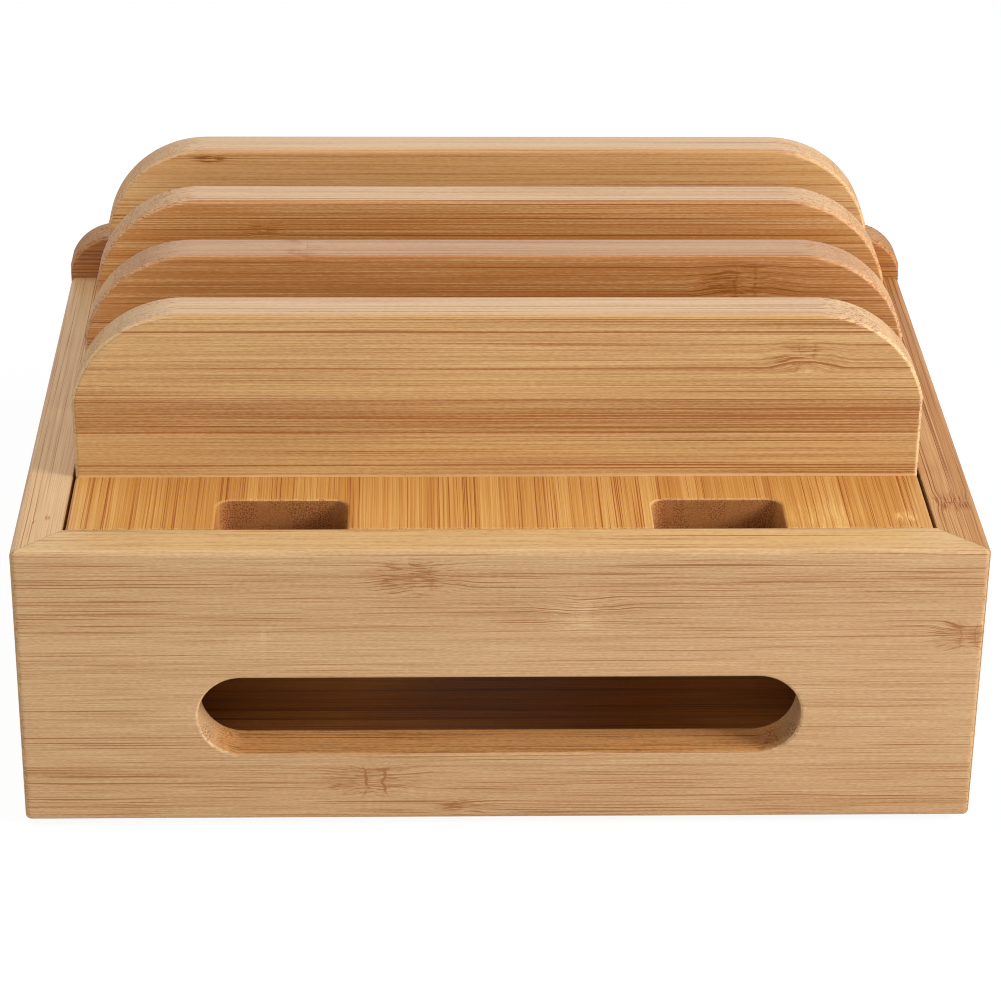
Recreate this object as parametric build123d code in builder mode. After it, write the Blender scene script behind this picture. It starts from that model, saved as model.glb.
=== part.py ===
from build123d import *
import os

os.makedirs("parts", exist_ok=True)

# Charging station organizer in bamboo, in millimetres.
# A mitred box hides a power strip, and a loose top with four dividers drops into it.
# The origin is at the bottom centre: the front faces -Y and the feet stand on Z = 0.

# Box
box_width = 250.0
box_depth = 190.0
frame_height = 80.0
frame_board = 12.4
outer_round = 1.6

# Back panel, rounded on a wider blank and then trimmed to the box
back_rise = 13.3
back_corner_radius = 15.0
back_corner_excess = 1.2
crown_chamfer = 0.9

# Cable slot in the front and cord outlet in the back
slot_length = 157.4
slot_width = 22.9
slot_floor = 20.1
slot_chamfer = 0.5
outlet_length = 60.0

# Base panel, captured in a groove all round
base_thickness = 6.0
base_recess = 4.0
groove_depth = 5.0
base_play = 0.3

# Splines and dowels in the corners of the box
spline_width = 8.0
spline_thickness = 2.5
spline_length = 50.0
dowel_radius = 3.0
dowel_in_back = 8.0
dowel_in_side = 16.0
dowel_pitch = 36.0
dowels_per_joint = 2
glue_gap = 0.1

# Ledges that the top rests on, glued to the side panels
ledge_width = 10.0
ledge_height = 10.0
ledge_end_gap = 2.0
ledge_ease = 0.8

# Feet
foot_radius = 4.5
foot_height = 2.0
foot_inset = 20.0

# Deck of the top
deck_thickness = 10.0
deck_side_gap = 0.8
deck_end_gap = 0.4
deck_chamfer = 0.4
notch_width = 34.3
notch_depth = 16.6
notch_radius = 4.0
notch_spacing = 113.4
cable_hole_depth = 14.0
dado_depth = 2.0

# Dividers, rounded on a wider blank and then trimmed to the deck
divider_board = 12.4
divider_rise = 46.8
divider_pitch = 39.7
divider_count = 4
divider_setback = 3.1
divider_corner_radius = 30.0
divider_corner_excess = 0.6
divider_chamfer = 0.8
divider_screw_pitch = 150.0
screws_per_divider = 2

# Countersunk wood screws that hold the dividers from below
screw_radius = 1.75
screw_head_radius = 3.0
screw_length = 25.0
screw_play = 0.15

# How far each cutting shape runs past the face that it cuts
overrun = 1.0

# Levels, from the feet up
frame_bottom = foot_height
frame_top = frame_bottom + frame_height
back_top = frame_top + back_rise
base_bottom = frame_bottom + base_recess
base_top = base_bottom + base_thickness
slot_centre = frame_bottom + slot_floor + slot_width / 2
deck_bottom = frame_top - deck_thickness
ledge_centre = deck_bottom - ledge_height / 2
divider_bottom = frame_top - dado_depth
divider_top = frame_top + divider_rise
joint_centre = (base_top + frame_top) / 2

# Faces of the box, across and from front to back
side_inner = box_width / 2 - frame_board
board_centre = box_width / 2 - frame_board / 2
front_face = -box_depth / 2
back_face = box_depth / 2
front_inner = front_face + frame_board
back_inner = back_face - frame_board
inner_depth = back_inner - front_inner
ledge_face = side_inner - ledge_width

# Deck and what stands on it
deck_width = 2 * (side_inner - deck_side_gap)
deck_front = front_inner + deck_end_gap
deck_back = back_inner - deck_end_gap
rear_divider_place = deck_back - divider_setback - divider_board / 2
front_divider_place = rear_divider_place - (divider_count - 1) * divider_pitch
dividers_centre = (front_divider_place + rear_divider_place) / 2
divider_places = [front_divider_place + step * divider_pitch for step in range(divider_count)]
divider_names = ["front_divider", "second_divider", "third_divider", "rear_divider"]

# Depth of a screw head in the wood
screw_head_depth = screw_head_radius - screw_radius
screw_hole_radius = screw_radius + screw_play
countersink_radius = screw_head_radius + screw_play

standing = (Align.CENTER, Align.MIN)


def finish(piece, name):
    """Names a finished piece and writes it out."""
    piece.label = name
    export_step(piece, f"parts/{name}.step")


# The outside of the box with its edges rounded, which trims the front and side boards

with BuildPart() as box_outside:
    with BuildSketch(Plane.XY.offset(frame_bottom)):
        Rectangle(box_width, box_depth)
    extrude(amount=frame_height)
    fillet(box_outside.edges(), outer_round)

# The groove for the base panel, cut in all four boards

with BuildPart() as base_groove:
    with BuildSketch(Plane.XY.offset(base_bottom)):
        Rectangle(2 * (side_inner + groove_depth), inner_depth + 2 * groove_depth)
    extrude(amount=base_thickness + glue_gap)


def spline(side, play):
    """A spline across one front mitre, or its mortise when play is added all round."""
    with BuildPart() as piece:
        with BuildSketch(Plane.XY.offset(joint_centre - spline_length / 2 - play)):
            with Locations((side * board_centre, front_face + frame_board / 2)):
                Rectangle(spline_width + 2 * play, spline_thickness + 2 * play, rotation=side * 45)
        extrude(amount=spline_length + 2 * play)
    return piece.part


def dowels(side, play):
    """The row of dowels in one back joint, or their holes when play is added all round."""
    with BuildPart() as row:
        with BuildSketch(Plane.XZ.offset(-(back_inner + dowel_in_back + play))):
            with Locations((side * board_centre, joint_centre)):
                with GridLocations(dowel_pitch, dowel_pitch, 1, dowels_per_joint):
                    Circle(dowel_radius + play)
        extrude(amount=dowel_in_back + dowel_in_side + 2 * play)
    return row.part


# Front panel, mitred at both ends, with the cable slot

with BuildPart() as front_panel:
    with BuildSketch(Plane.XY.offset(frame_bottom)):
        with BuildLine():
            Polyline(
                (-box_width / 2, front_face),
                (box_width / 2, front_face),
                (side_inner, front_inner),
                (-side_inner, front_inner),
                close=True,
            )
        make_face()
    extrude(amount=frame_height)
    add(box_outside.part, mode=Mode.INTERSECT)
    add(base_groove.part, mode=Mode.SUBTRACT)
    for side in (-1, 1):
        add(spline(side, glue_gap), mode=Mode.SUBTRACT)
    with BuildSketch(Plane.XZ.offset(-front_face)):
        with Locations((0, slot_centre)):
            SlotOverall(slot_length, slot_width)
    extrude(amount=-(frame_board + overrun), mode=Mode.SUBTRACT)
    chamfer(front_panel.faces().sort_by(Axis.Y)[0].inner_wires()[0].edges(), slot_chamfer)

finish(front_panel.part, "front_panel")


# Side panels, mitred in front and square behind

for side, name in ((-1, "left_side_panel"), (1, "right_side_panel")):
    with BuildPart() as side_panel:
        with BuildSketch(Plane.XY.offset(frame_bottom)):
            with BuildLine():
                Polyline(
                    (side * box_width / 2, front_face),
                    (side * side_inner, front_inner),
                    (side * side_inner, back_inner),
                    (side * box_width / 2, back_inner),
                    close=True,
                )
            make_face()
        extrude(amount=frame_height)
        add(box_outside.part, mode=Mode.INTERSECT)
        add(base_groove.part, mode=Mode.SUBTRACT)
        add(spline(side, glue_gap), mode=Mode.SUBTRACT)
        add(dowels(side, glue_gap), mode=Mode.SUBTRACT)
    finish(side_panel.part, name)


# Back panel, taller than the box, with the cord outlet

with BuildPart() as back_panel:
    with BuildSketch(Plane.XZ.offset(-back_inner)) as back_outline:
        with Locations((0, frame_bottom)):
            Rectangle(box_width + 2 * back_corner_excess, frame_height + back_rise, align=standing)
        fillet(back_outline.vertices().group_by(Axis.Y)[-1], back_corner_radius)
        with Locations((0, frame_bottom)):
            Rectangle(box_width, frame_height + back_rise, align=standing, mode=Mode.INTERSECT)
    extrude(amount=-frame_board)
    crown = back_panel.faces().sort_by(Axis.Y)[0].edges().filter_by_position(Axis.Z, frame_top, back_top)
    chamfer(crown, crown_chamfer)
    chamfer(back_panel.faces().sort_by(Axis.Y)[-1].edges(), crown_chamfer)
    add(base_groove.part, mode=Mode.SUBTRACT)
    for side in (-1, 1):
        add(dowels(side, glue_gap), mode=Mode.SUBTRACT)
    with BuildSketch(Plane.XZ.offset(-back_face)):
        with Locations((0, slot_centre)):
            SlotOverall(outlet_length, slot_width)
    extrude(amount=frame_board + overrun, mode=Mode.SUBTRACT)
    chamfer(back_panel.faces().sort_by(Axis.Y)[-1].inner_wires()[0].edges(), slot_chamfer)

finish(back_panel.part, "back_panel")


# Base panel, free to move in its groove as solid wood has to be

with BuildPart() as base_panel:
    with BuildSketch(Plane.XY.offset(base_bottom)):
        Rectangle(
            2 * (side_inner + groove_depth - base_play),
            inner_depth + 2 * (groove_depth - base_play),
        )
    extrude(amount=base_thickness)

finish(base_panel.part, "base_panel")


# Splines across the front mitres, and dowels in the back joints

for side, name in ((-1, "left_mitre_spline"), (1, "right_mitre_spline")):
    with BuildPart() as mitre_spline:
        add(spline(side, 0))
    finish(mitre_spline.part, name)

with BuildPart() as back_dowels:
    for side in (-1, 1):
        add(dowels(side, 0))

finish(back_dowels.part, "back_dowels")


# Ledges inside the side panels

for side, name in ((-1, "left_ledge"), (1, "right_ledge")):
    with BuildPart() as ledge:
        with BuildSketch(Plane.YZ.offset(side * ledge_face)):
            with Locations((0, ledge_centre)):
                Rectangle(inner_depth - 2 * ledge_end_gap, ledge_height)
        extrude(amount=side * ledge_width)
        lower_edge = ledge.edges().filter_by(Axis.Y).group_by(Axis.Z)[0].sort_by(Axis.X)
        fillet(lower_edge[-1] if side < 0 else lower_edge[0], ledge_ease)
    finish(ledge.part, name)


# Feet under the side panels

foot_places = {
    "front_left_foot": (-board_centre, front_face + foot_inset),
    "front_right_foot": (board_centre, front_face + foot_inset),
    "rear_left_foot": (-board_centre, back_face - foot_inset),
    "rear_right_foot": (board_centre, back_face - foot_inset),
}
for name, place in foot_places.items():
    with BuildPart() as foot:
        with BuildSketch():
            with Locations(place):
                Circle(foot_radius)
        extrude(amount=foot_height)
    finish(foot.part, name)


# Deck, with two notches, cable holes in every lane, and a groove under each divider

with BuildPart() as deck:
    with BuildSketch(Plane.XY.offset(deck_bottom)):
        with Locations((0, (deck_front + deck_back) / 2)):
            Rectangle(deck_width, deck_back - deck_front)
        with Locations((0, deck_front)):
            with GridLocations(notch_spacing, notch_spacing, 2, 1):
                RectangleRounded(notch_width, 2 * notch_depth, notch_radius, mode=Mode.SUBTRACT)
        with Locations((0, dividers_centre)):
            with GridLocations(notch_spacing, divider_pitch, 2, divider_count - 1):
                RectangleRounded(notch_width, cable_hole_depth, notch_radius, mode=Mode.SUBTRACT)
    extrude(amount=deck_thickness)
    chamfer(deck.faces().sort_by(Axis.Z)[-1].edges(), deck_chamfer)
    with BuildSketch(Plane.XY.offset(frame_top)):
        with Locations((0, dividers_centre)):
            with GridLocations(divider_pitch, divider_pitch, 1, divider_count):
                Rectangle(deck_width + 2 * overrun, divider_board)
    extrude(amount=-dado_depth, mode=Mode.SUBTRACT)
    with Locations(Plane((0, dividers_centre, deck_bottom), z_dir=(0, 0, -1))):
        with GridLocations(divider_screw_pitch, divider_pitch, screws_per_divider, divider_count):
            CounterSinkHole(screw_hole_radius, countersink_radius, counter_sink_angle=90)

finish(deck.part, "deck")


# Dividers, standing in the grooves of the deck

for name, place in zip(divider_names, divider_places):
    with BuildPart() as divider:
        with BuildSketch(Plane.XZ.offset(divider_board / 2 - place)) as divider_outline:
            with Locations((0, divider_bottom)):
                Rectangle(
                    deck_width + 2 * divider_corner_excess,
                    divider_top - divider_bottom,
                    align=standing,
                )
            fillet(divider_outline.vertices().group_by(Axis.Y)[-1], divider_corner_radius)
            with Locations((0, divider_bottom)):
                Rectangle(
                    deck_width,
                    divider_top - divider_bottom,
                    align=standing,
                    mode=Mode.INTERSECT,
                )
        extrude(amount=-divider_board)
        outline_edges = divider.edges().filter_by(Axis.Y, reverse=True)
        chamfer(outline_edges.group_by(Axis.Z)[1:], divider_chamfer)
        with Locations(Plane((0, place, divider_bottom), z_dir=(0, 0, -1))):
            with GridLocations(divider_screw_pitch, divider_pitch, screws_per_divider, 1):
                Hole(screw_hole_radius, screw_length + dado_depth - deck_thickness + screw_play)
    finish(divider.part, name)

# Screws up through the deck into the dividers, with their heads level with its underside

with BuildPart() as wood_screw:
    with BuildSketch(Plane.XZ):
        with BuildLine():
            Polyline(
                (0, 0),
                (screw_head_radius, 0),
                (screw_radius, screw_head_depth),
                (screw_radius, screw_length),
                (0, screw_length),
                close=True,
            )
        make_face()
    revolve(axis=Axis.Z)

with BuildPart() as divider_screws:
    with Locations((0, dividers_centre, deck_bottom)):
        with GridLocations(divider_screw_pitch, divider_pitch, screws_per_divider, divider_count):
            add(wood_screw.part)

finish(divider_screws.part, "divider_screws")
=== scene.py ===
"""Looks of the bamboo charging station organizer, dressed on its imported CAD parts.

The boards keep their CAD shapes and get solid, three-dimensional bamboo: fibre
bundles that run the length of each board, so that a face shows them as streaks
and a cut end shows them as dots.
"""

import logging
import math
from dataclasses import dataclass, replace
from enum import Enum
from typing import Any

import bpy
from mathutils import Matrix, Vector


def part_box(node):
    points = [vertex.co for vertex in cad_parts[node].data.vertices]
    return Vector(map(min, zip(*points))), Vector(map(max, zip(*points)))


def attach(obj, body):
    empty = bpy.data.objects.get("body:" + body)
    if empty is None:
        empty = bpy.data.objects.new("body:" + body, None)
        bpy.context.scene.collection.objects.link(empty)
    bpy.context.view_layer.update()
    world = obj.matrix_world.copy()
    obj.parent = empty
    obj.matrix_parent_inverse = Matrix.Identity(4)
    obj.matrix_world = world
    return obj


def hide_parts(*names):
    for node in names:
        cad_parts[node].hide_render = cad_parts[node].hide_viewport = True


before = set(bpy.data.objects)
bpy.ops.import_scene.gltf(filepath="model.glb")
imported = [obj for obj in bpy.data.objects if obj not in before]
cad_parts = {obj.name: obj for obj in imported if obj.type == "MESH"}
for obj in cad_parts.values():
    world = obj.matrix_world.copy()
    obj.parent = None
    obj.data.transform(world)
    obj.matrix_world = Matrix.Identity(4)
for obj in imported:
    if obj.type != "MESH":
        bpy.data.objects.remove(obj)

MM = 0.001
SMOOTH = {"interpolation_type": "SMOOTHSTEP"}
COLOURS = {"data_type": "RGBA"}
SHARP_ANGLE = math.radians(35.0)

Tree = bpy.types.NodeTree
Material = bpy.types.Material
Point = tuple[float, float, float]
Face = tuple[int, ...]

log = logging.getLogger("organizer")
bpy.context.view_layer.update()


def linear(hex_colour: str) -> tuple[float, float, float, float]:
    """Turns an sRGB hex colour into the linear colour that shaders take.

    Args:
        hex_colour: Six hex digits, such as "C79C71".

    Returns:
        Red, green, blue and alpha, linear.
    """
    channels = [int(hex_colour[i : i + 2], 16) / 255 for i in (0, 2, 4)]
    curve = [c / 12.92 if c <= 0.04045 else ((c + 0.055) / 1.055) ** 2.4 for c in channels]
    return (*curve, 1.0)


def add(tree: Tree, kind: str, inputs: Any = (), operation: str = "", **settings: Any) -> Any:
    """Adds one node with its settings and links.

    Args:
        tree: Node tree that the node joins.
        kind: Blender's name for the node, without the "ShaderNode" in front.
        inputs: What feeds its sockets, in their order or by name or number: values,
            sockets, or nodes, which feed it by their first output.
        operation: What a node for numbers or vectors does with them.
        settings: The node's other settings, by name.

    Returns:
        The new node.
    """
    node = tree.nodes.new("ShaderNode" + kind)
    if operation:
        node.operation = operation
    for name, value in settings.items():
        setattr(node, name, value)
    for name, value in inputs.items() if isinstance(inputs, dict) else enumerate(inputs):
        if isinstance(value, bpy.types.Node):
            value = value.outputs[0]
        if isinstance(value, bpy.types.NodeSocket):
            tree.links.new(value, node.inputs[name])
        else:
            node.inputs[name].default_value = value
    return node


def pattern(tree: Tree, kind: str, place: Any, size: tuple[float, ...], inputs: dict[str, Any], **settings: Any) -> Any:
    """Lays out a texture by the real size of what it draws.

    Args:
        tree: The material's nodes.
        kind: Blender's name for the texture, without the "ShaderNode" in front.
        place: Where a spot lies, in millimetres.
        size: Millimetres that one feature takes up along each axis.
        inputs: The texture's other inputs.
        settings: The texture's own settings.

    Returns:
        The texture node.
    """
    shares = add(tree, "VectorMath", (place, tuple(1 / mm for mm in size)), "MULTIPLY")
    return add(tree, kind, {"Vector": shares, "Scale": 1.0, **inputs}, **settings)


def new_material(name: str) -> tuple[Material, Tree]:
    """Makes an empty node material.

    Args:
        name: The material's name.

    Returns:
        The material and its node tree.
    """
    material = bpy.data.materials.new(name)
    material.use_nodes = True
    material.node_tree.nodes.clear()
    return material, material.node_tree


def new_object(name: str, data: Any) -> bpy.types.Object:
    """Puts an object into the scene.

    Args:
        name: The object's name.
        data: Its mesh, lamp or camera.

    Returns:
        The object.
    """
    made = bpy.data.objects.new(name, data)
    bpy.context.scene.collection.objects.link(made)
    return made


def dress(node: str, material: Material) -> None:
    """Gives a CAD node its finish in every material slot.

    Args:
        node: The CAD node's name.
        material: The finish.
    """
    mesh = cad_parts[node].data
    mesh.materials.clear()
    mesh.materials.append(material)
    log.info("dressed %s in %s", node, material.name)


class Lie(Enum):
    """How a board lies: the axes of its fibres, its width and its thickness."""

    UPRIGHT_ACROSS = ("X", "Z", "Y")
    FLAT_ACROSS = ("X", "Y", "Z")
    FLAT_DEEP = ("Y", "X", "Z")


@dataclass(frozen=True)
class Spot:
    """A spot in a board, as sockets of its millimetres.

    Along runs with the fibres, across over the face, and deep into the board.
    """

    along: Any
    across: Any
    deep: Any

    def vector(self, tree: Tree) -> Any:
        """Joins the three into one vector."""
        return add(tree, "CombineXYZ", (self.along, self.across, self.deep))


@dataclass(frozen=True)
class Step:
    """A step between the values before and after, as a measure goes from low to high."""

    low: float
    high: float
    before: float = 0.0
    after: float = 1.0

    def of(self, measure: Any) -> tuple[Any, ...]:
        """Gives the node inputs that take this step along a measure."""
        return (measure, self.low, self.high, self.before, self.after)


@dataclass(frozen=True)
class Knuckle:
    """A joint of the cane that crosses one strip, where the fibres swerve.

    Sizes and places are in millimetres, along and across the fibres. Darkness
    is the strength of its marks, and below zero the marks are pale. Fan is how
    far the fibres draw together at it, as a share of its width, and rise how far
    they swing aside. Collar is the strength of the two ragged lines across it.
    """

    along: float
    across: float
    length: float
    width: float
    darkness: float
    fan: float = 0.0
    rise: float = 0.0
    collar: float = 0.0


@dataclass(frozen=True)
class KnuckleStyle:
    """How all knuckles are drawn, in shares of their size or in millimetres."""

    # How far a knuckle reaches, and how it fades towards that, in shares
    reach: float = 1.3
    fade: Step = Step(0.35, 1.25, 1.0, 0.0)

    # How far the fibres waver, over waves of this size, in millimetres
    waver: float = 0.9
    wave: Point = (6.0, 2.5, 6.0)
    wave_detail: float = 2.0

    # The collar's lines: how ragged they are, where they lie, how they bow and
    # how thick they are, in shares, then the gaps in them and the band between
    ragged: float = 0.14
    rim_place: float = 0.17
    rim_bow: float = 0.06
    rim: Step = Step(0.010, 0.038, 0.36, 0.0)
    gaps: Step = Step(0.38, 0.52, 0.2)
    band: Step = Step(0.05, 0.45, 0.08, 0.0)

    # Dashes in millimetres, how dark they and the smudges under them are, and how
    # they thin out beyond the collar
    dash: Point = (8.0, 0.5, 5.0)
    dashes: Step = Step(0.51, 0.64, 0.06, 0.80)
    smudges: Step = Step(0.50, 0.62, 0.0, 0.16)
    side: Step = Step(0.0, 0.5, 1.0, 0.4)


@dataclass(frozen=True)
class Strip:
    """One strip of a face, up from a seam: how light and how lined it is."""

    seam: float
    tone: float
    crowd: float = 1.0


@dataclass(frozen=True)
class Needles:
    """One size of fibre bundle: long needles that taper at both ends.

    Pitch and length are in millimetres, and core and edge are shares of them.
    """

    pitch: float
    length: float
    core: float
    edge: float
    strength: float


# Pitch, length, core, edge and strength of each
DASHES = (
    Needles(1.20, 400.0, 0.10, 0.17, 0.55),
    Needles(0.70, 160.0, 0.16, 0.28, 0.62),
    Needles(0.50, 75.0, 0.20, 0.34, 0.58),
    Needles(0.42, 34.0, 0.20, 0.36, 0.36),
    Needles(2.60, 110.0, 0.05, 0.40, 0.15),
)
LONG_LINES = (
    Needles(0.95, 1200.0, 0.12, 0.20, 0.62),
    Needles(0.62, 500.0, 0.16, 0.30, 0.62),
    Needles(0.48, 300.0, 0.18, 0.34, 0.52),
    Needles(0.42, 120.0, 0.20, 0.36, 0.32),
    Needles(2.60, 220.0, 0.05, 0.40, 0.15),
)


@dataclass(frozen=True)
class Cut:
    """How a turned face shows the wood: its tone is the level times slope, plus lift.

    Share is how much of that shows over the colour of the board's face.
    """

    share: float
    slope: float
    lift: float


@dataclass(frozen=True)
class Bamboo:
    """Laminated bamboo, sanded and sealed with a thin clear satin coat.

    The eye reads it by long fine fibres with darker bundles among them, by
    strips of slightly different tone with hair-thin seams, and by a low sheen.
    Sizes are in millimetres, and tones are levels from dark at 0 to pale at 1.
    """

    name: str
    lie: Lie

    # Colours of the face from its lines to its palest wood, of edges and of cuts
    base: str
    line: str
    pale: str
    edge: str
    end: str
    levels: Point = (0.05, 0.6, 1.0)
    middle: float = 0.66

    # Strips across the face and layers in depth, or strips given one by one
    seed: float = 0.0
    strip_width: float = 11.0
    strip_contrast: float = 0.07
    strip_shift: float = 3.7
    layer_width: float = 5.5
    layer_contrast: float = 0.04
    layer_shift: float = 11.3
    strip_random: float = 0.45
    strips: tuple[Strip, ...] = ()
    seam_width: float = 0.28
    seam_depth: float = 0.24
    crowd_least: float = 0.55
    crowd_range: float = 0.9

    # Fibres: dark needles, hair-fine ones, flecks, and broad bands of tone. Real
    # hair-fine ones are a tenth of a millimetre, too fine to show, so they are
    # drawn three to four times as coarse. Flecks are short ends that sanding leaves
    needles: tuple[Needles, ...] = LONG_LINES
    lined: float = 1.0
    hair_length: float = 26.0
    hair_across: tuple[float, float] = (0.32, 0.5)
    hair_roughness: float = 0.6
    hair_strength: float = 0.90
    fleck: Point = (1.6, 0.3, 0.5)
    fleck_strength: float = 0.42
    band: Point = (130.0, 2.6, 4.0)
    band_roughness: float = 0.55
    band_strength: float = 0.20
    crowding: Step = Step(0.40, 0.60, 1.5, 0.6)
    drift: float = 0.25
    drift_wave: Point = (30.0, 5.0, 8.0)
    drift_seed: float = 5.0
    seed_shift: Point = (91.0, 37.0, 53.0)
    knuckles: tuple[Knuckle, ...] = ()
    style: KnuckleStyle = KnuckleStyle()

    # Cut ends: the dots of the dark bundles, dense in some patches, thin in others
    dot_pitch: float = 0.62
    dot_random: float = 0.8
    dots: Step = Step(0.22, 0.44, 1.70, 0.0)
    dot_patch: Point = (4.0, 9.0, 1.0)
    dot_density: Step = Step(0.42, 0.52, 0.40)
    pore_shade: float = 0.55

    # Edges, cuts, and what a router cut, which lies below a place across the face and gets a colour of painted shade
    flat_side: Step = Step(0.30, 0.68, 1.0, 0.0)
    edge_cut: Cut = Cut(share=0.85, slope=1.2, lift=0.14)
    end_cut: Cut = Cut(share=0.95, slope=0.45, lift=0.70)
    turned: tuple[float, float] = (0.40, 0.90)
    slot_shade: str = ""
    routed_below: float = 0.0
    routed_slope: float = 2.2
    routed_lift: float = -0.62

    # Corners: a soft line along the fibres, painted highlight where its colour is pale and painted shade where it is
    # dark, and a ragged fringe across them, partly sanded fibres and partly painted highlight
    sanding_and_light: float = 0.50
    fuzz_and_highlight: str = "E8C99C"
    corner: str = "E8C99C"
    corner_share: float = 0.20
    corner_radius: float = 0.7
    corner_samples: int = 3
    corner_turn: Step = Step(0.995, 0.90)
    chamfer_slant: float = 0.7
    chamfer: Step = Step(0.08, 0.16, 1.0, 0.0)
    fringe_size: float = 0.8
    fringe_detail: float = 3.0
    fringe: Step = Step(0.38, 0.62)
    across_fibres: Step = Step(0.05, 0.40)

    # Surface
    roughness: float = 0.46
    cut_roughness: float = 0.80
    ior: float = 1.47
    gloss: float = 0.5
    coat: float = 0.06
    coat_roughness: float = 0.3
    bump_strength: float = 0.25
    bump_height: float = 0.12

    def material(self) -> Material:
        """Builds the finish.

        Returns:
            The node material.
        """
        material, tree = new_material(self.name)
        place = add(tree, "TexCoord").outputs["Object"]
        place = add(tree, "VectorMath", {0: place, "Scale": 1 / MM}, "SCALE")
        place = add(tree, "SeparateXYZ", (place,))
        spot = Spot(*(place.outputs[axis] for axis in self.lie.value))
        marks, bend = self.knuckle_marks(tree, spot)
        spot = self.drifted(tree, spot, bend)
        tone, crowd, seam = self.strip_tones(tree, spot)
        streaks, lines, relief = self.fibres(tree, spot, crowd)

        # Edges and cuts run through all strips, so their level leaves out the tones
        level: Any = self.middle
        for part, share in ((tone, 1.0), (streaks, 1.0), (lines, -1.0), (seam, -self.seam_depth), (marks, -1.0)):
            if part is not None:
                level = add(tree, "Math", (part, share, level), "MULTIPLY_ADD")
        bare = add(tree, "Math", (level, tone), "SUBTRACT")
        colour = self.coloured(tree, spot, level, bare)
        colour, normal, cut = self.corners_sanded_and_light_painted(tree, colour)
        self.finish_surface(tree, colour, relief, normal, cut)
        return material

    def knuckle_places(self, tree: Tree, spot: Spot) -> dict[str, Any]:
        """Finds the knuckle that each spot lies at, and that knuckle's values.

        Args:
            tree: The material's nodes.
            spot: Where it is.

        Returns:
            Nodes by name: place, in shares of the knuckle's size, with 1 as its
            third part within reach, and dark, rise, fan and collar.
        """
        flat = add(tree, "CombineXYZ", (spot.along, spot.across))
        found: dict[str, Any] = {}
        for knuckle in self.knuckles:
            middle = {"Location": (knuckle.along, knuckle.across, 0), "Scale": (knuckle.length, knuckle.width, 1)}
            near = add(tree, "Mapping", {"Vector": flat, **middle}, vector_type="TEXTURE")
            reach = add(tree, "VectorMath", (near,), "LENGTH").outputs["Value"]
            gate = add(tree, "Math", (reach, self.style.reach), "LESS_THAN")
            near = add(tree, "VectorMath", (near, (1, 1, 0), (0, 0, 1)), "MULTIPLY_ADD")
            found["place"] = add(tree, "VectorMath", (near, gate, found.get("place", (0, 0, 0))), "MULTIPLY_ADD")
            values = {"dark": knuckle.darkness, "rise": knuckle.rise, "collar": knuckle.collar}
            for name, value in {**values, "fan": knuckle.fan * knuckle.width}.items():
                found[name] = add(tree, "Math", (gate, value, found.get(name, 0.0)), "MULTIPLY_ADD")
        return found

    def knuckle_marks(self, tree: Tree, spot: Spot) -> tuple[Any, Any]:
        """Draws the knuckles: a ragged collar, dashes beside it, swerving fibres.

        Args:
            tree: The material's nodes.
            spot: Where it is.

        Returns:
            How much darker the marks are, and the swerve in millimetres. Both are
            None where the board has no knuckle.
        """
        if not self.knuckles:
            return None, None
        style = self.style
        found = self.knuckle_places(tree, spot)
        lengths, widths, within = add(tree, "SeparateXYZ", (found["place"],)).outputs
        reach = add(tree, "CombineXYZ", (lengths, widths))
        reach = add(tree, "VectorMath", (reach,), "LENGTH").outputs["Value"]
        near = add(tree, "MapRange", style.fade.of(reach), **SMOOTH)
        near = add(tree, "Math", (near, within), "MULTIPLY")

        # Swerve: the fibres draw together at the collar, rise over it and waver
        waves = pattern(tree, "TexNoise", spot.vector(tree), style.wave, {"Detail": style.wave_detail})
        swing = add(tree, "Math", (waves, 2 * style.waver, -style.waver), "MULTIPLY_ADD")
        bold = add(tree, "Math", (found["dark"],), "ABSOLUTE")
        bold = add(tree, "Math", (bold, 1.0), "MINIMUM")
        swing = add(tree, "Math", (swing, bold), "MULTIPLY")
        swing = add(tree, "Math", (swing, found["rise"]), "SUBTRACT")
        swing = add(tree, "Math", (widths, found["fan"], swing), "MULTIPLY_ADD")
        bend = add(tree, "Math", (swing, near), "MULTIPLY")

        # Collar: two thin ragged lines square to the fibres, and a pale band between
        ragged = add(tree, "Math", (waves, 2 * style.ragged, -style.ragged), "MULTIPLY_ADD")
        aside = add(tree, "Math", (lengths, ragged), "ADD")
        aside = add(tree, "Math", (aside,), "ABSOLUTE")
        bow = add(tree, "Math", (widths, widths), "MULTIPLY")
        bow = add(tree, "Math", (bow, style.rim_bow, style.rim_place), "MULTIPLY_ADD")
        rim = add(tree, "Math", (aside, bow), "SUBTRACT")
        rim = add(tree, "Math", (rim,), "ABSOLUTE")
        collar = add(tree, "MapRange", style.rim.of(rim), **SMOOTH)
        gaps = add(tree, "MapRange", style.gaps.of(waves), **SMOOTH)
        for factor in (gaps, found["collar"]):
            collar = add(tree, "Math", (collar, factor), "MULTIPLY")
        band = add(tree, "MapRange", style.band.of(aside), **SMOOTH)

        # Dashes: short dark or pale streaks that lie with the bent fibres, and
        # brown smudges under them
        bent = replace(spot, across=add(tree, "Math", (spot.across, bend), "ADD"))
        dashes = pattern(tree, "TexNoise", bent.vector(tree), style.dash, {"Detail": style.wave_detail})
        dashes = add(tree, "MapRange", style.dashes.of(dashes), **SMOOTH)
        smudges = add(tree, "MapRange", style.smudges.of(waves), **SMOOTH)
        dashes = add(tree, "Math", (dashes, smudges), "ADD")
        side = add(tree, "MapRange", style.side.of(lengths))
        for factor in (side, found["dark"]):
            dashes = add(tree, "Math", (dashes, factor), "MULTIPLY")
        marks = add(tree, "Math", (dashes, collar), "ADD")
        marks = add(tree, "Math", (marks, band), "SUBTRACT")
        marks = add(tree, "Math", (marks, near), "MULTIPLY")
        return marks, bend

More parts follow.
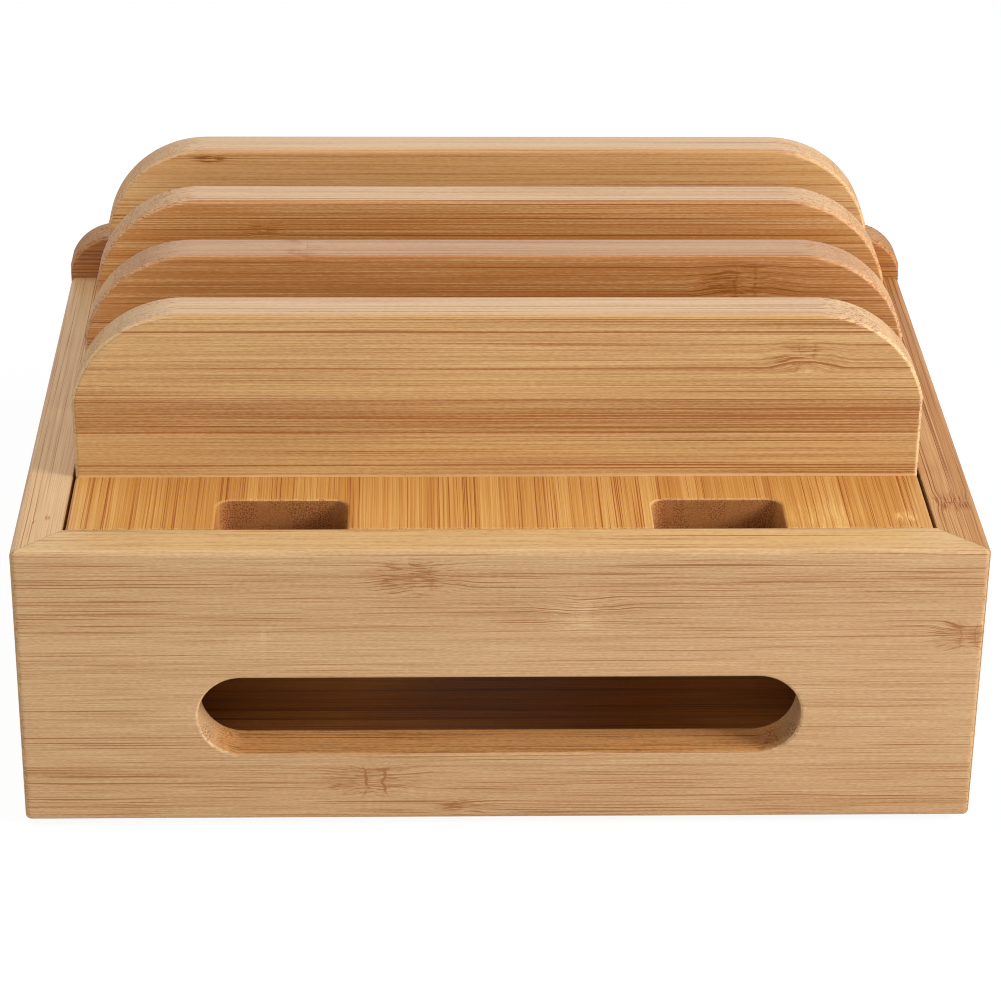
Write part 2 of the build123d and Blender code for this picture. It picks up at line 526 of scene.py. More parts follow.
    def drifted(self, tree: Tree, spot: Spot, bend: Any) -> Spot:
        """Lets the fibres wander a little along the board.

        Args:
            tree: The material's nodes.
            spot: Where it is.
            bend: Swerve at the knuckles in millimetres, or None.

        Returns:
            The spot among fibres that run straight.
        """
        wave = {"W": self.drift_seed * self.seed, "Detail": 1.0}
        wander = pattern(tree, "TexNoise", spot.vector(tree), self.drift_wave, wave, noise_dimensions="4D")
        drift = add(tree, "Math", (wander, 2 * self.drift, -self.drift), "MULTIPLY_ADD")
        if bend is not None:
            drift = add(tree, "Math", (drift, bend), "ADD")
        return replace(spot, across=add(tree, "Math", (spot.across, drift), "ADD"))

    def strip_tones(self, tree: Tree, spot: Spot) -> tuple[Any, Any, Any]:
        """Gives each strip and each layer its own tone, with thin seams.

        Args:
            tree: The material's nodes.
            spot: Where it is.

        Returns:
            The tone about zero, how lined the strip is, and the seam lines.
        """
        layers = (self.layer_width, self.layer_contrast, self.layer_shift)
        layer, _, layer_seam = self.random_strips(tree, spot.deep, *layers)
        if self.strips:
            tone, crowd = self.drawn_strips(tree, spot.across)
            seam = layer_seam
        else:
            strips = (self.strip_width, self.strip_contrast, self.strip_shift)
            tone, crowd, seam = self.random_strips(tree, spot.across, *strips)
            seam = add(tree, "Math", (seam, layer_seam), "MAXIMUM")
        return add(tree, "Math", (tone, layer), "ADD"), crowd, seam

    def random_strips(self, tree: Tree, place: Any, width: float, contrast: float, shift: float) -> tuple[Any, ...]:
        """Makes strips of about one width whose tones fall at random.

        Args:
            tree: The material's nodes.
            place: Millimetres square to the strips.
            width: Usual width of a strip in millimetres.
            contrast: How far a tone may fall from zero.
            shift: Moves the pattern, in strips.

        Returns:
            The tone about zero, how lined the strip is, and the seam lines.
        """
        place = add(tree, "Math", (place, 1 / width, self.seed + shift), "MULTIPLY_ADD")
        row = {"W": place, "Scale": 1.0, "Randomness": self.strip_random}
        cells = add(tree, "TexVoronoi", row, voronoi_dimensions="1D")
        grey = add(tree, "SeparateXYZ", (cells.outputs["Color"],)).outputs
        tone = add(tree, "Math", (grey[0], 2 * contrast, -contrast), "MULTIPLY_ADD")
        crowd = add(tree, "Math", (grey[1], self.crowd_range, self.crowd_least), "MULTIPLY_ADD")
        edge = add(tree, "TexVoronoi", row, voronoi_dimensions="1D", feature="DISTANCE_TO_EDGE")
        seam = Step(0.0, self.seam_width / width, 1.0, 0.0)
        return tone, crowd, add(tree, "MapRange", seam.of(edge.outputs["Distance"]), **SMOOTH)

    def drawn_strips(self, tree: Tree, across: Any) -> tuple[Any, Any]:
        """Lays the strips that are given one by one, as steps of a ramp.

        Args:
            tree: The material's nodes.
            across: Millimetres across the face.

        Returns:
            The tone about zero, and how lined the strip is.
        """
        low, high = self.strips[0].seam, self.strips[-1].seam + 1
        ramp = add(tree, "ValToRGB", (add(tree, "MapRange", (across, low, high)),))
        ramp.color_ramp.interpolation = "CONSTANT"
        stops = ramp.color_ramp.elements
        stops.remove(stops[-1])
        for index, strip in enumerate(self.strips):
            position = (strip.seam - low) / (high - low)
            stop = stops[0] if index == 0 else stops.new(position)
            stop.position = position

            # A ramp holds no number below zero, so both are packed about a half
            stop.color = (0.5 + strip.tone, 0.5 * strip.crowd, 0.0, 1.0)
        parts = add(tree, "SeparateXYZ", (ramp,)).outputs
        tone = add(tree, "Math", (parts[0], 0.5), "SUBTRACT")
        return tone, add(tree, "Math", (parts[1], 2.0), "MULTIPLY")

    def fibres(self, tree: Tree, spot: Spot, crowd: Any) -> tuple[Any, Any, Any]:
        """Runs the fibre bundles and the dark lines along the board.

        Args:
            tree: The material's nodes.
            spot: Where it is, among fibres that run straight.
            crowd: How lined each strip is.

        Returns:
            The streaks about zero, the dark lines, and the relief.
        """
        shift = tuple(self.seed * part for part in self.seed_shift)
        board = add(tree, "VectorMath", (spot.vector(tree), shift))
        hair_size = (self.hair_length, *self.hair_across)
        hair = pattern(tree, "TexNoise", board, hair_size, {"Detail": 2.0, "Roughness": self.hair_roughness})
        fleck = pattern(tree, "TexNoise", board, self.fleck, {"Detail": 1.0})
        band = pattern(tree, "TexNoise", board, self.band, {"Detail": 2.0, "Roughness": self.band_roughness})
        streaks: Any = 0.0
        for noise, strength in ((hair, self.hair_strength), (band, self.band_strength), (fleck, self.fleck_strength)):
            about = add(tree, "Math", (noise, 0.5), "SUBTRACT")
            streaks = add(tree, "Math", (about, strength, streaks), "MULTIPLY_ADD")
        lines: Any = 0.0
        for needles in self.needles:
            size = (needles.length, needles.pitch, needles.pitch)
            cells = pattern(tree, "TexVoronoi", board, size, {"Randomness": 1.0})
            taper = Step(needles.core, needles.edge, needles.strength, 0.0)
            needle = add(tree, "MapRange", taper.of(cells.outputs["Distance"]), **SMOOTH)
            dark = add(tree, "SeparateXYZ", (cells.outputs["Color"],))
            lines = add(tree, "Math", (needle, dark, lines), "MULTIPLY_ADD")

        # The bundles crowd together in some bands and thin out in others
        cluster = add(tree, "MapRange", self.crowding.of(band), **SMOOTH)
        for factor in (cluster, crowd, self.lined):
            lines = add(tree, "Math", (lines, factor), "MULTIPLY")
        return streaks, lines, add(tree, "Math", (hair, lines), "SUBTRACT")

    def end_dots(self, tree: Tree, spot: Spot) -> Any:
        """Dots a cut across the fibres with the ends of the dark bundles.

        Args:
            tree: The material's nodes.
            spot: Where it is.

        Returns:
            How much darker the dots are.
        """
        cut = add(tree, "CombineXYZ", (spot.across, spot.deep))
        size = (self.dot_pitch, self.dot_pitch, self.dot_pitch)
        cells = pattern(tree, "TexVoronoi", cut, size, {"Randomness": self.dot_random}, voronoi_dimensions="2D")
        dots = add(tree, "MapRange", self.dots.of(cells.outputs["Distance"]), **SMOOTH)
        patch = pattern(tree, "TexNoise", cut, self.dot_patch, {"Detail": 0.0})
        dense = add(tree, "MapRange", self.dot_density.of(patch))
        return add(tree, "Math", (dots, dense), "MULTIPLY")

    def coloured(self, tree: Tree, spot: Spot, level: Any, bare: Any) -> Any:
        """Turns the level into the wood's colours on faces, edges and cut ends.

        Args:
            tree: The material's nodes.
            spot: Where it is.
            level: The wood's tone from 0 to 1.
            bare: The same without the tones of strips, for edges and cuts.

        Returns:
            Socket of the colour.
        """
        ramp = add(tree, "ValToRGB", (level,))
        stops = ramp.color_ramp.elements
        stops.new(self.levels[1])
        for stop, position, tint in zip(stops, self.levels, (self.line, self.base, self.pale)):
            stop.position, stop.color = position, linear(tint)
        colour = ramp.outputs[0]

        # An edge shows the strips from the side, and a cut across the fibres
        # soaks up more of the coat: both have their own tone
        edge, end = self.edge_cut, self.end_cut
        edge_colour, slope, lift = linear(self.edge), edge.slope, edge.lift
        if self.slot_shade:
            # The walls that the router cut lie in the slot's shade, which is painted as a
            # warmer, redder colour, and the fibres stand out more there
            inside = add(tree, "Math", (spot.across, self.routed_below), "LESS_THAN")
            slope = add(tree, "MapRange", {0: inside, 3: slope, 4: self.routed_slope})
            lift = add(tree, "MapRange", {0: inside, 3: lift, 4: self.routed_lift})
            edge_colour = add(tree, "Mix", {0: inside, 6: edge_colour, 7: linear(self.slot_shade)}, **COLOURS).outputs[2]
        line = linear(self.line)
        pore = (*(self.pore_shade * part for part in line[:3]), 1.0)
        dotted = add(tree, "Math", (bare, self.end_dots(tree, spot)), "SUBTRACT")
        normal = add(tree, "VectorMath", (add(tree, "TexCoord").outputs["Normal"],), "ABSOLUTE")
        normal = add(tree, "SeparateXYZ", (normal,)).outputs
        fibre_axis, width_axis, flat_axis = self.lie.value
        side_on = add(tree, "MapRange", self.flat_side.of(normal[flat_axis]), **SMOOTH)
        for axis, tint, dark, share, tone, steep, raised in (
            (width_axis, edge_colour, line, edge.share, bare, slope, lift),
            (fibre_axis, linear(self.end), pore, end.share, dotted, end.slope, end.lift),
        ):
            turned = add(tree, "MapRange", Step(*self.turned, after=share).of(normal[axis]), **SMOOTH)
            turned = add(tree, "Math", (turned, side_on), "MULTIPLY")
            shade = add(tree, "Math", (tone, steep, raised), "MULTIPLY_ADD", use_clamp=True)
            toned = add(tree, "Mix", {0: shade, 6: dark, 7: tint}, **COLOURS).outputs[2]
            colour = add(tree, "Mix", {0: turned, 6: colour, 7: toned}, **COLOURS).outputs[2]
        return colour

    def corners_sanded_and_light_painted(self, tree: Tree, colour: Any) -> tuple[Any, Any, Any]:
        """Colours the corners as sanding leaves them, with painted highlight and painted shade.

        It leaves a soft line on a corner along the fibres, painted highlight where
        its colour is pale and painted shade where it is dark, and a pale ragged
        fringe on one that cuts across them, partly sanded fibres and partly painted highlight.

        Args:
            tree: The material's nodes.
            colour: The wood's colour.

        Returns:
            The colour with sanded and light-painted corners, the normal with eased
            corners, and how far the surface cuts across the fibres.
        """
        fibre_axis, _, flat_axis = self.lie.value
        eased = add(tree, "Bevel", {"Radius": self.corner_radius * MM}, samples=self.corner_samples)
        true = add(tree, "NewGeometry").outputs["True Normal"]
        turn = add(tree, "VectorMath", (eased, true), "DOT_PRODUCT").outputs["Value"]
        sanded_and_light_mask = add(tree, "MapRange", self.corner_turn.of(turn), **SMOOTH)

        # A chamfer lies halfway between two faces, and takes the sanded and light-painted corner colours all over
        slant = add(tree, "SeparateXYZ", (true,)).outputs[flat_axis]
        slant = add(tree, "Math", (slant,), "ABSOLUTE")
        slant = add(tree, "Math", (slant, self.chamfer_slant), "SUBTRACT")
        slant = add(tree, "Math", (slant,), "ABSOLUTE")
        slant = add(tree, "MapRange", self.chamfer.of(slant))
        sanded_and_light_mask = add(tree, "Math", (sanded_and_light_mask, slant), "MAXIMUM")

        place = add(tree, "TexCoord").outputs["Object"]
        ragged = {"Vector": place, "Scale": 1 / (self.fringe_size * MM), "Detail": self.fringe_detail}
        fringe = add(tree, "MapRange", self.fringe.of(add(tree, "TexNoise", ragged)))
        cut = add(tree, "SeparateXYZ", (eased,)).outputs[fibre_axis]
        cut = add(tree, "Math", (cut,), "ABSOLUTE")
        cut = add(tree, "MapRange", self.across_fibres.of(cut))
        amount = add(tree, "Mix", {0: cut, 2: self.corner_share, 3: fringe}, data_type="FLOAT")
        for factor in (amount, self.sanding_and_light):
            sanded_and_light_mask = add(tree, "Math", (sanded_and_light_mask, factor), "MULTIPLY")
        tint = add(tree, "Mix", {0: cut, 6: linear(self.corner), 7: linear(self.fuzz_and_highlight)}, **COLOURS).outputs[2]
        return add(tree, "Mix", {0: sanded_and_light_mask, 6: colour, 7: tint}, **COLOURS).outputs[2], eased, cut

    def finish_surface(self, tree: Tree, colour: Any, relief: Any, normal: Any, cut: Any) -> None:
        """Joins colour, relief and coat to the surface.

        Args:
            tree: The material's nodes.
            colour: The wood's colour.
            relief: Height of the fibres, about 0 to 1.
            normal: Normal with eased corners.
            cut: How far the surface cuts across the fibres.
        """
        # A cut soaks up the coat and stays rougher
        rough = add(tree, "MapRange", {0: cut, 3: self.roughness, 4: self.cut_roughness})
        height = {"Strength": self.bump_strength, "Distance": self.bump_height * MM, "Height": relief}
        bump = add(tree, "Bump", {**height, "Normal": normal})
        sockets = {"Base Color": colour, "Roughness": rough, "IOR": self.ior, "Specular IOR Level": self.gloss}
        coat = {"Coat Weight": self.coat, "Coat Roughness": self.coat_roughness, "Normal": bump}
        add(tree, "OutputMaterial", {"Surface": add(tree, "BsdfPrincipled", {**sockets, **coat})})


@dataclass(frozen=True)
class Rubber:
    """Moulded black rubber with a fine matt grain, whose sizes are in millimetres."""

    name: str = "moulded_rubber"
    colour: str = "1C1B1A"
    roughness: float = 0.8
    ior: float = 1.52
    grain: float = 0.3
    bump_strength: float = 0.3
    bump_height: float = 0.05

    def material(self) -> Material:
        """Builds the finish.

        Returns:
            The node material.
        """
        material, tree = new_material(self.name)
        place = add(tree, "TexCoord").outputs["Object"]
        grain = add(tree, "TexNoise", {"Vector": place, "Scale": 1 / (self.grain * MM), "Detail": 2.0})
        height = {"Strength": self.bump_strength, "Distance": self.bump_height * MM, "Height": grain}
        sockets = {"Roughness": self.roughness, "IOR": self.ior, "Normal": add(tree, "Bump", height)}
        surface = add(tree, "BsdfPrincipled", {"Base Color": linear(self.colour), **sockets})
        add(tree, "OutputMaterial", {"Surface": surface})
        return material


@dataclass(frozen=True)
class ZincSteel:
    """Zinc plated steel, tumbled, with a soft cloudy shine."""

    name: str = "zinc_plated_steel"
    colour: str = "C3C4C0"
    cloud: float = 1.5
    roughness: Step = Step(0.3, 0.7, 0.3, 0.42)

    def material(self) -> Material:
        """Builds the finish.

        Returns:
            The node material.
        """
        material, tree = new_material(self.name)
        place = add(tree, "TexCoord").outputs["Object"]
        cloud = add(tree, "TexNoise", {"Vector": place, "Scale": 1 / (self.cloud * MM), "Detail": 2.0})
        rough = add(tree, "MapRange", self.roughness.of(cloud))
        sockets = {"Base Color": linear(self.colour), "Metallic": 1.0, "Roughness": rough}
        add(tree, "OutputMaterial", {"Surface": add(tree, "BsdfPrincipled", sockets)})
        return material


def build_piece(
    name: str, points: list[Point], faces: list[Face], material: Material, body: str, nodes: tuple[str, ...]
) -> bpy.types.Object:
    """Makes a smooth mesh piece that rides a body and stands for CAD nodes.

    Args:
        name: The piece's name.
        points: Vertices in metres, in the row frame.
        faces: Corner numbers of each face.
        material: The finish.
        body: The body that carries the piece.
        nodes: The CAD nodes that it stands for.

    Returns:
        The new object.
    """
    mesh = bpy.data.meshes.new(name)
    mesh.from_pydata(points, [], faces)
    mesh.shade_smooth()
    mesh.set_sharp_from_angle(angle=SHARP_ANGLE)
    mesh.materials.append(material)
    piece = new_object(name, mesh)
    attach(piece, body)
    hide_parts(*nodes)
    log.info("built %s with %d faces", name, len(faces))
    return piece


def lathe(rings: list[list[Vector]], first: int = 0) -> tuple[list[Point], list[Face]]:
    """Skins closed rings of points one after another, and closes both ends.

    Args:
        rings: Rings with equally many points, from the bottom up.
        first: Number that the first point gets.

    Returns:
        The points and the faces.
    """
    around = len(rings[0])
    points = [tuple(point) for ring in rings for point in ring]
    faces = [
        tuple(first + (row + up) * around + (spot + on) % around for up, on in ((0, 0), (0, 1), (1, 1), (1, 0)))
        for row in range(len(rings) - 1)
        for spot in range(around)
    ]
    faces.append(tuple(first + spot for spot in reversed(range(around))))
    faces.append(tuple(first + (len(rings) - 1) * around + spot for spot in range(around)))
    return points, faces


@dataclass(frozen=True)
class WoodScrew:
    """A countersunk wood screw with a cross recess, its point upward.

    Sizes are in millimetres. The head lies at the bottom. Crest slope is how
    sharply the thread falls off, and recess curve the power that rounds the recess.
    """

    head_radius: float = 3.0
    shank_radius: float = 1.7
    head_height: float = 1.3
    rim: float = 0.2
    smooth_length: float = 8.0
    core_radius: float = 1.15
    thread_pitch: float = 1.6
    crest_slope: float = 2.2
    point_length: float = 4.5
    tip_radius: float = 0.12
    recess_radius: float = 1.9
    recess_depth: float = 1.5
    recess_arm: float = 0.34
    recess_curve: float = 0.5
    around: int = 32
    rows_per_turn: int = 6
    head_rings: int = 12

    def rings(self, foot: Vector, length: float) -> list[list[Vector]]:
        """Lists the rings of points from the recess to the tip.

        Args:
            foot: Middle of the head's face, in millimetres.
            length: The screw's length in millimetres.

        Returns:
            The rings, in millimetres.
        """
        angles = [2 * math.pi * spot / self.around for spot in range(self.around)]
        rings = []

        # The face, with the cross recess sunk into it
        for step in range(1, self.head_rings + 1):
            radius = self.head_radius * step / self.head_rings
            rings.append([foot + self.on_face(radius, angle) for angle in angles])
        neck = self.head_height + self.rim
        shank = ((self.rim, self.head_radius), (neck, self.shank_radius), (self.smooth_length, self.shank_radius))
        for height, radius in shank:
            rings.append([foot + self.on_ring(radius, angle, height) for angle in angles])

        # The thread, whose crest climbs one pitch each turn and shrinks at the point
        threaded = length - self.smooth_length
        rows = int(threaded / self.thread_pitch * self.rows_per_turn)
        for row in range(1, rows + 1):
            height = self.smooth_length + threaded * row / rows
            taper = min(1.0, (length - height) / self.point_length)
            ring = []
            for angle in angles:
                turn = height / self.thread_pitch - angle / (2 * math.pi)
                crest = max(0.0, 1 - self.crest_slope * abs(turn % 1.0 - 0.5))
                radius = self.core_radius + (self.shank_radius - self.core_radius) * crest
                radius = self.tip_radius + (radius - self.tip_radius) * taper
                ring.append(foot + self.on_ring(radius, angle, height))
            rings.append(ring)
        return rings

    def on_ring(self, radius: float, angle: float, height: float) -> Vector:
        """Places a point by radius, angle and height."""
        return Vector((radius * math.cos(angle), radius * math.sin(angle), height))

    def on_face(self, radius: float, angle: float) -> Vector:
        """Places a point on the head's face, sunk where an arm of the cross runs.

        Args:
            radius: Distance from the head's middle.
            angle: Angle about it in radians.

        Returns:
            The point.
        """
        point = self.on_ring(radius, angle, 0.0)
        aside = min(abs(point.x), abs(point.y))
        if radius < self.recess_radius and aside < self.recess_arm:
            point.z = self.recess_depth * (1 - radius / self.recess_radius) ** self.recess_curve
        return point


@dataclass(frozen=True)
class Bumper:
    """A moulded rubber foot with a rounded edge, as heights and radii in shares."""

    profile: tuple[tuple[float, float], ...] = (
        (0.00, 0.55), (0.02, 0.70), (0.08, 0.82), (0.20, 0.92), (0.38, 0.98), (0.60, 1.00), (1.00, 1.00),
    )
    around: int = 48

    def rings(self, low: Vector, high: Vector) -> list[list[Vector]]:
        """Lists the rings of points that fill a CAD foot's box.

        Args:
            low: The box's lowest corner, in metres.
            high: Its highest corner.

        Returns:
            The rings, in metres.
        """
        middle = (low + high) / 2
        turns = [2 * math.pi * spot / self.around for spot in range(self.around)]
        rings = []
        for rise, share in self.profile:
            height = low.z + rise * (high.z - low.z)
            radius = share * ((high.x - low.x) / 2)
            ring = [(middle.x + radius * math.cos(turn), middle.y + radius * math.sin(turn), height) for turn in turns]
            rings.append([Vector(point) for point in ring])
        return rings


@dataclass(frozen=True)
class Lamp:
    """A square soft lamp, by its place and width in millimetres and its watts."""

    name: str
    place: Point
    width: float
    power: float


@dataclass
class Studio:
    """White sweep, soft lamps and the camera at the photograph's place.

    Lengths are in millimetres and angles in degrees. The shadow share is how
    much of the floor's own shading the camera sees.
    """

    focal_pixels: float = 3259.4
    picture_pixels: float = 1001.0
    sensor: float = 36.0
    eye: Point = (-24.78, -826.67, 468.02)
    yaw: float = -1.888
    pitch: float = 26.905
    roll: float = 0.725
    floor_size: float = 8000.0
    paper: float = 0.82
    glow: float = 1.04
    shadow_share: float = 0.11
    surround: float = 0.26
    filter_width: float = 1.05
    aim: Point = (0.0, 0.0, 70.0)
    lamps: tuple[Lamp, ...] = (
        Lamp("key_lamp", place=(1250, -560, 750), width=450, power=21.0),
        Lamp("fill_lamp", place=(-100, -1600, 550), width=1000, power=6.3),
        Lamp("top_lamp", place=(-450, 100, 1600), width=1200, power=11.0),
    )

    def set_up(self) -> None:
        """Builds the floor, the world, the lamps and the camera."""
        self.lay_floor()
        self.light_world()
        self.hang_lamps()
        self.place_camera()
        bpy.context.scene.view_settings.view_transform = "Standard"
        bpy.context.scene.cycles.filter_width = self.filter_width

    def place_camera(self) -> None:
        """Puts the camera where the photograph was taken from."""
        yaw, pitch, roll = (math.radians(v) for v in (self.yaw, self.pitch, self.roll))
        forward = Vector((-math.sin(yaw) * math.cos(pitch), math.cos(yaw) * math.cos(pitch), -math.sin(pitch)))
        level = Vector((math.cos(yaw), math.sin(yaw), 0))
        upward = level.cross(forward)
        right = math.cos(roll) * level + math.sin(roll) * upward
        top = -math.sin(roll) * level + math.cos(roll) * upward
        data = bpy.data.cameras.new("photo_camera")
        data.sensor_fit = "HORIZONTAL"
        data.sensor_width = self.sensor
        data.lens = self.focal_pixels / self.picture_pixels * self.sensor
        camera = new_object("photo_camera", data)
        turn = Matrix((right, top, -forward)).transposed().to_4x4()
        camera.matrix_world = Matrix.Translation(Vector(self.eye) * MM) @ turn
        bpy.context.scene.camera = camera

    def seen_directly(self, tree: Tree) -> Any:
        """Tells the rays that show white itself from those that light with it.

        Args:
            tree: Nodes of the material or the world.

        Returns:
            Socket with 1 for the first and 0 for the others.
        """
        path = add(tree, "LightPath").outputs
        seen = path["Is Camera Ray"]
        for kind in ("Is Glossy Ray", "Is Transmission Ray"):
            seen = add(tree, "Math", (seen, path[kind]), "MAXIMUM")
        return seen

    def lay_floor(self) -> None:
        """Lays a white floor that is white to the camera and keeps a soft shadow."""
        half = self.floor_size / 2 * MM
        mesh = bpy.data.meshes.new("studio_floor")
        mesh.from_pydata([(-half, -half, 0), (half, -half, 0), (half, half, 0), (-half, half, 0)], [], [(0, 1, 2, 3)])
        floor = new_object("studio_floor", mesh)
        material, tree = new_material("white_sweep")
        seen = self.seen_directly(tree)
        share = add(tree, "Math", (seen, 1 - self.shadow_share), "MULTIPLY")
        paper = add(tree, "BsdfDiffuse", {"Color": (self.paper, self.paper, self.paper, 1)})
        glow = add(tree, "Emission", {"Color": (1, 1, 1, 1), "Strength": self.glow})
        add(tree, "OutputMaterial", {"Surface": add(tree, "MixShader", (share, paper, glow))})
        mesh.materials.append(material)

    def light_world(self) -> None:
        """Surrounds the object with even white light, and shows white behind it."""
        world = bpy.data.worlds.new("white_studio")
        world.use_nodes = True
        tree = world.node_tree
        tree.nodes.clear()
        strength = add(tree, "MapRange", {0: self.seen_directly(tree), 3: self.surround, 4: 1.0})
        sky = add(tree, "Background", {"Color": (1, 1, 1, 1), "Strength": strength})
        add(tree, "OutputWorld", {"Surface": sky})
        bpy.context.scene.world = world

    def hang_lamps(self) -> None:
        """Hangs a large key lamp to the front right, a fill in front and one above."""
        target = Vector(self.aim) * MM
        for lamp in self.lamps:
            data = bpy.data.lights.new(lamp.name, "AREA")
            data.shape = "SQUARE"
            data.size = lamp.width * MM
            data.energy = lamp.power
            hung = new_object(lamp.name, data)
            spot = Vector(lamp.place) * MM
            turn = (target - spot).to_track_quat("-Z", "Y").to_matrix().to_4x4()
            hung.matrix_world = Matrix.Translation(spot) @ turn


@dataclass
class Box:
    """The mitred box: four boards, the base, its joints, the ledges and the feet."""

    front: Bamboo = Bamboo(
        name="bamboo_front_board",
        lie=Lie.UPRIGHT_ACROSS,
        base="BA9062",
        line="98602A",
        pale="CFAA7C",
        edge="D5AF78",
        end="D2A878",
        seed=1.0,
        slot_shade="DC9E5E",
        routed_below=60.0,
        corner_share=0.05,
        needles=DASHES,
        fleck_strength=0.60,
        strips=(
            Strip(2.0, -0.05, 1.35), Strip(18.0, -0.22), Strip(18.35, 0.00, 0.80), Strip(31.0, 0.03, 0.65),
            Strip(46.9, 0.06, 0.60), Strip(55.5, 0.02, 0.90), Strip(58.6, -0.20), Strip(58.95, -0.02),
            Strip(68.6, -0.03, 1.35), Strip(77.0, 0.03),
        ),
        knuckles=(
            Knuckle(-20.5, 74.6, 14.0, 5.2, 1.6, fan=0.4, rise=0.5, collar=0.4),
            Knuckle(21.5, 64.0, 12.0, 5.0, -0.6, fan=0.3, rise=-0.5, collar=0.3),
            Knuckle(-32.5, 14.0, 14.0, 5.0, 1.1, fan=0.5, collar=1.6),
            Knuckle(-9.0, 6.0, 8.5, 3.0, 1.5, fan=0.2),
            Knuckle(121.0, 57.0, 11.0, 4.5, 1.2, fan=0.7, collar=0.6),
            Knuckle(-61.0, 57.0, 6.0, 2.5, -0.2, fan=0.1, collar=0.2),
        ),
    )
    left_side: Bamboo = Bamboo(
        name="bamboo_left_side_board",
        lie=Lie.FLAT_DEEP,
        base="CFA878",
        line="A0582B",
        pale="E0C090",
        edge="C79D6C",
        end="C39A6E",
        seed=2.0,
        lined=1.15,
        # Dark corners along the fibres, in the line colour: painted shade
        corner="A0582B",
        corner_share=0.5,
        fleck_strength=0.08,
        knuckles=(Knuckle(-77.5, -120.4, 1.5, 0.6, 1.6), Knuckle(-75.5, -117.0, 1.8, 0.7, 1.8)),
    )
    right_side: Bamboo = Bamboo(
        name="bamboo_right_side_board",
        lie=Lie.FLAT_DEEP,
        base="B8854F",
        line="8A481A",
        pale="DAA972",
        edge="AE7948",
        end="B48258",
        seed=3.0,
        lined=1.5,
        # Dark corners along the fibres, in the line colour: painted shade
        corner="8A481A",
        corner_share=1.0,
        strip_contrast=0.12,
        fleck_strength=0.08,
        gloss=0.2,
        knuckles=(Knuckle(-67.0, 118.8, 6.0, 6.0, 1.2, fan=0.2, collar=0.9),),
    )
    # The back board is darker and redder than the other boards, partly its own tone and partly painted shade of the
    # box's inside
    back: Bamboo = Bamboo(
        name="bamboo_back_board",
        lie=Lie.UPRIGHT_ACROSS,
        base="AB692E",
        line="74421A",
        pale="C48E50",
        edge="BC8E62",
        end="A67546",
        seed=4.0,
        sanding_and_light=0.15,
    )

    def dress_boards(self) -> None:
        """Gives every piece of the box its finish."""
        boards = {
            "front_panel": self.front,
            "left_side_panel": self.left_side,
            "right_side_panel": self.right_side,
            "back_panel": self.back,
            # The base board shares the back board's darker colours, partly painted shade
            "base_panel": replace(self.back, name="bamboo_base_board", lie=Lie.FLAT_ACROSS, seed=5.0),
        }
        hidden = ("left_ledge", "right_ledge", "left_mitre_spline", "right_mitre_spline", "back_dowels")
        for index, node in enumerate(hidden):
            boards[node] = replace(self.left_side, name=f"bamboo_{node}", seed=20.0 + index)
        for node, board in boards.items():
            dress(node, board.material())

    def build_feet(self) -> None:
        """Builds the four rubber feet over the plain ones."""
        rubber = Rubber().material()
        for node in ("front_left_foot", "front_right_foot", "rear_left_foot", "rear_right_foot"):
            dress(node, rubber)
            low, high = (Vector(corner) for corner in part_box(node))
            points, faces = lathe(Bumper().rings(low, high))
            piece = build_piece(node.replace("foot", "bumper"), points, faces, rubber, "box", (node,))


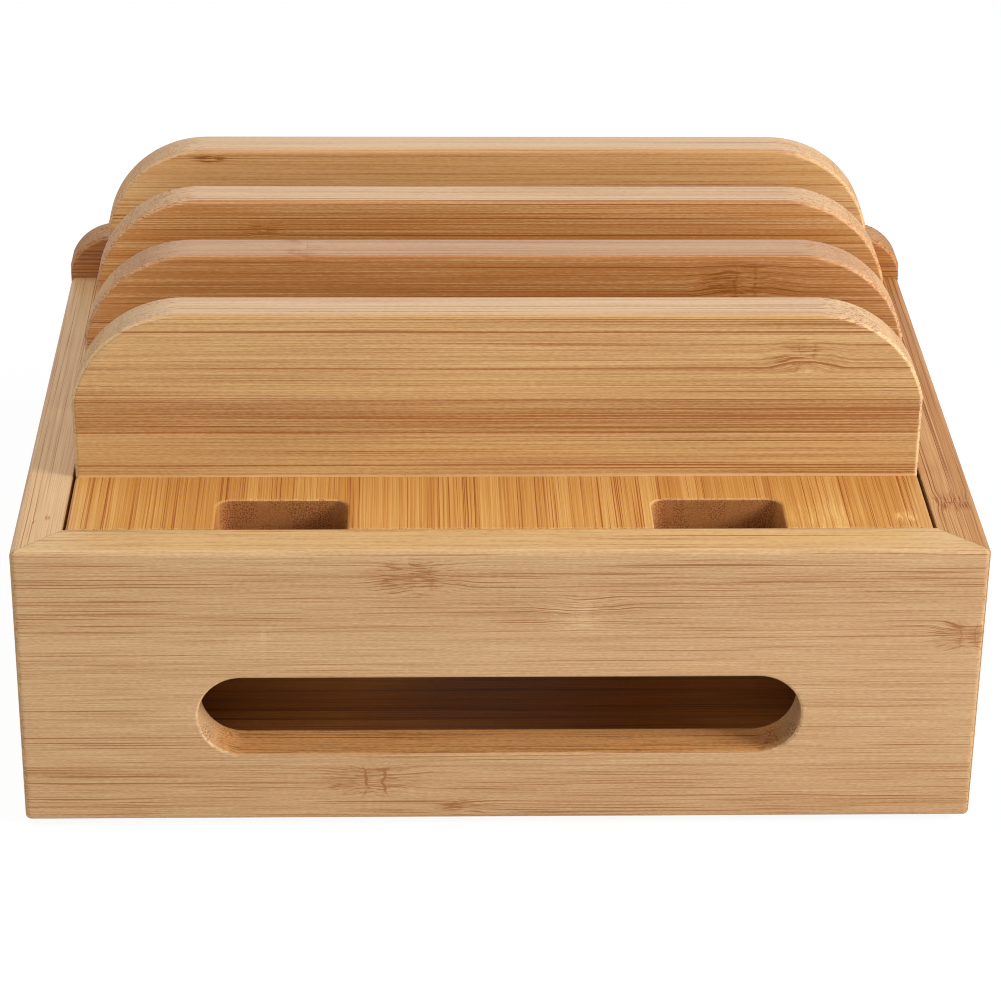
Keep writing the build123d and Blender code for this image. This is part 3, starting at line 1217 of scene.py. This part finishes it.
@dataclass
class Top:
    """The lift-off top: the deck, four dividers and their screws."""

    deck: Bamboo = Bamboo(
        name="bamboo_deck_board",
        lie=Lie.FLAT_DEEP,
        base="C88F46",
        line="984C14",
        pale="DFB36F",
        edge="C48848",
        end="AE6F38",
        seed=7.0,
        sanding_and_light=0.2,
        fleck_strength=0.08,
        knuckles=(Knuckle(-75.5, 105.5, 4.0, 3.0, -1.4), Knuckle(-75.0, 84.0, 22.0, 12.0, -0.25)),
        strip_width=6.0,
        strip_contrast=0.11,
        hair_length=60.0,
        hair_strength=0.95,
        band_strength=0.30,
        drift=0.2,
    )
    front_divider: Bamboo = Bamboo(
        name="bamboo_front_divider",
        lie=Lie.UPRIGHT_ACROSS,
        base="CDA46B",
        line="98591F",
        pale="E2BF8A",
        edge="D5B28C",
        end="D0A270",
        seed=8.0,
        sanding_and_light=0.32,
        fuzz_and_highlight="ECCDB0",
        # Dark corners along the fibres, in the line colour: painted shade
        corner="98591F",
        corner_share=1.0,
        hair_length=70.0,
        hair_strength=0.95,
        drift=0.12,
        strips=(
            Strip(80.0, 0.00, 0.80), Strip(81.9, 0.30, 0.20), Strip(82.5, 0.06, 0.80), Strip(85.2, -0.18),
            Strip(85.6, 0.06, 0.60), Strip(94.7, -0.30), Strip(95.2, -0.15, 1.10), Strip(104.3, -0.22),
            Strip(104.6, 0.03, 0.70), Strip(108.4, -0.18), Strip(108.7, 0.03, 0.60), Strip(113.4, -0.12),
            Strip(113.7, 0.03, 0.75), Strip(123.6, -0.32), Strip(124.1, 0.03, 1.10),
        ),
        knuckles=(
            Knuckle(80.5, 117.5, 11.0, 5.5, 0.7, fan=0.2, rise=1.2, collar=0.3),
            Knuckle(-106.0, 108.9, 1.8, 0.8, 1.8),
        ),
    )

    # Node, base and edge colour, and knuckles of each divider behind the first
    later_dividers: tuple[tuple[str, str, str, tuple[Knuckle, ...]], ...] = (
        ("second_divider", "C08348", "BB9473", (
            Knuckle(68.0, 121.5, 15.0, 6.5, 0.8, fan=0.1, rise=1.2, collar=0.6),
            Knuckle(-52.0, 128.8, 6.0, 2.0, 0.5, fan=0.2, collar=0.5),
        )),
        ("third_divider", "C58646", "D3B089", (Knuckle(-64.0, 120.5, 7.0, 2.5, 0.6, fan=0.3, collar=0.3),)),
        ("rear_divider", "D3A064", "D5B28C", (Knuckle(-80.0, 126.5, 7.0, 2.0, 0.9, fan=0.2, collar=0.2),)),
    )

    def dress_boards(self) -> None:
        """Gives every piece of the top its finish."""
        boards = {"deck": self.deck, "front_divider": self.front_divider}
        for index, (node, base, edge, knuckles) in enumerate(self.later_dividers):
            look = {"name": f"bamboo_{node}", "base": base, "edge": edge, "seed": 9.0 + index}
            boards[node] = replace(self.front_divider, **look, strips=(), knuckles=knuckles)
        for node, board in boards.items():
            dress(node, board.material())

    def drive_screws(self) -> None:
        """Builds the screws that hold the dividers, from under the deck."""
        zinc = ZincSteel().material()
        dress("divider_screws", zinc)
        screw = WoodScrew()
        low, high = (Vector(corner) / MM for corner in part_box("divider_screws"))
        margin = Vector((screw.head_radius, screw.head_radius, 0))
        first, last = low + margin, high - margin
        rows = len(self.later_dividers) + 1
        points: list[Point] = []
        faces: list[Face] = []
        for x in (first.x, last.x):
            for row in range(rows):
                foot = Vector((x, first.y + (last.y - first.y) * row / (rows - 1), low.z))
                rings = [[point * MM for point in ring] for ring in screw.rings(foot, high.z - low.z)]
                more_points, more_faces = lathe(rings, len(points))
                points += more_points
                faces += more_faces
        piece = build_piece("threaded_divider_screws", points, faces, zinc, "top", ("divider_screws",))


def main() -> None:
    """Builds the studio, then dresses the box and the top."""
    logging.basicConfig(level=logging.INFO, format="%(name)s: %(message)s")
    Studio().set_up()
    box = Box()
    box.dress_boards()
    box.build_feet()
    top = Top()
    top.dress_boards()
    top.drive_screws()


if __name__ == "__main__":
    main()
